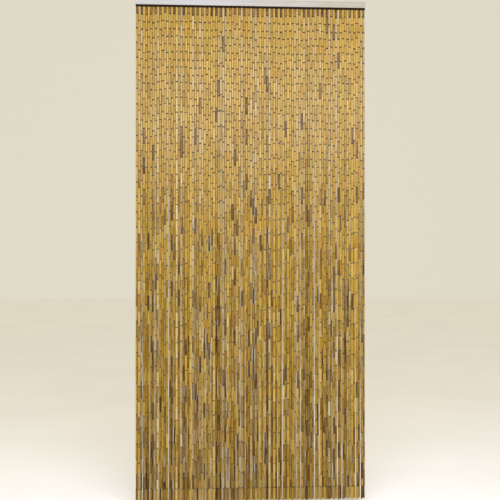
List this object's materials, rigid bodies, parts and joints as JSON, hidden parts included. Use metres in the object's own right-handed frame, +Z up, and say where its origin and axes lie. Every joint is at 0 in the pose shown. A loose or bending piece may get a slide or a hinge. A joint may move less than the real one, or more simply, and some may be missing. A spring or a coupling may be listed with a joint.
{
  "type": "bamboo door curtain on a wooden batten",
  "caption": "String curtain for a doorway: thin bamboo tubes, linked end to end with wire, hang side by side from a wooden batten.",
  "frame": {"origin": "centre of the batten's back face, which goes against the wall or door head", "axes": "+X along the batten to the right as seen from the room, +Y into the wall, +Z up; the curtain faces -Y"},
  "size_m": [0.9, 0.02, 1.9528],
  "materials": {
    "batten_wood": "planed pale pine, matt",
    "bamboo": "natural golden bamboo, silky, a little uneven in tone",
    "link_wire": "thin steel wire, dulled brown"
  },
  "bodies": {
    "root": {"batten": "batten_wood", "strands": "bamboo"}
  },
  "joints": []
}
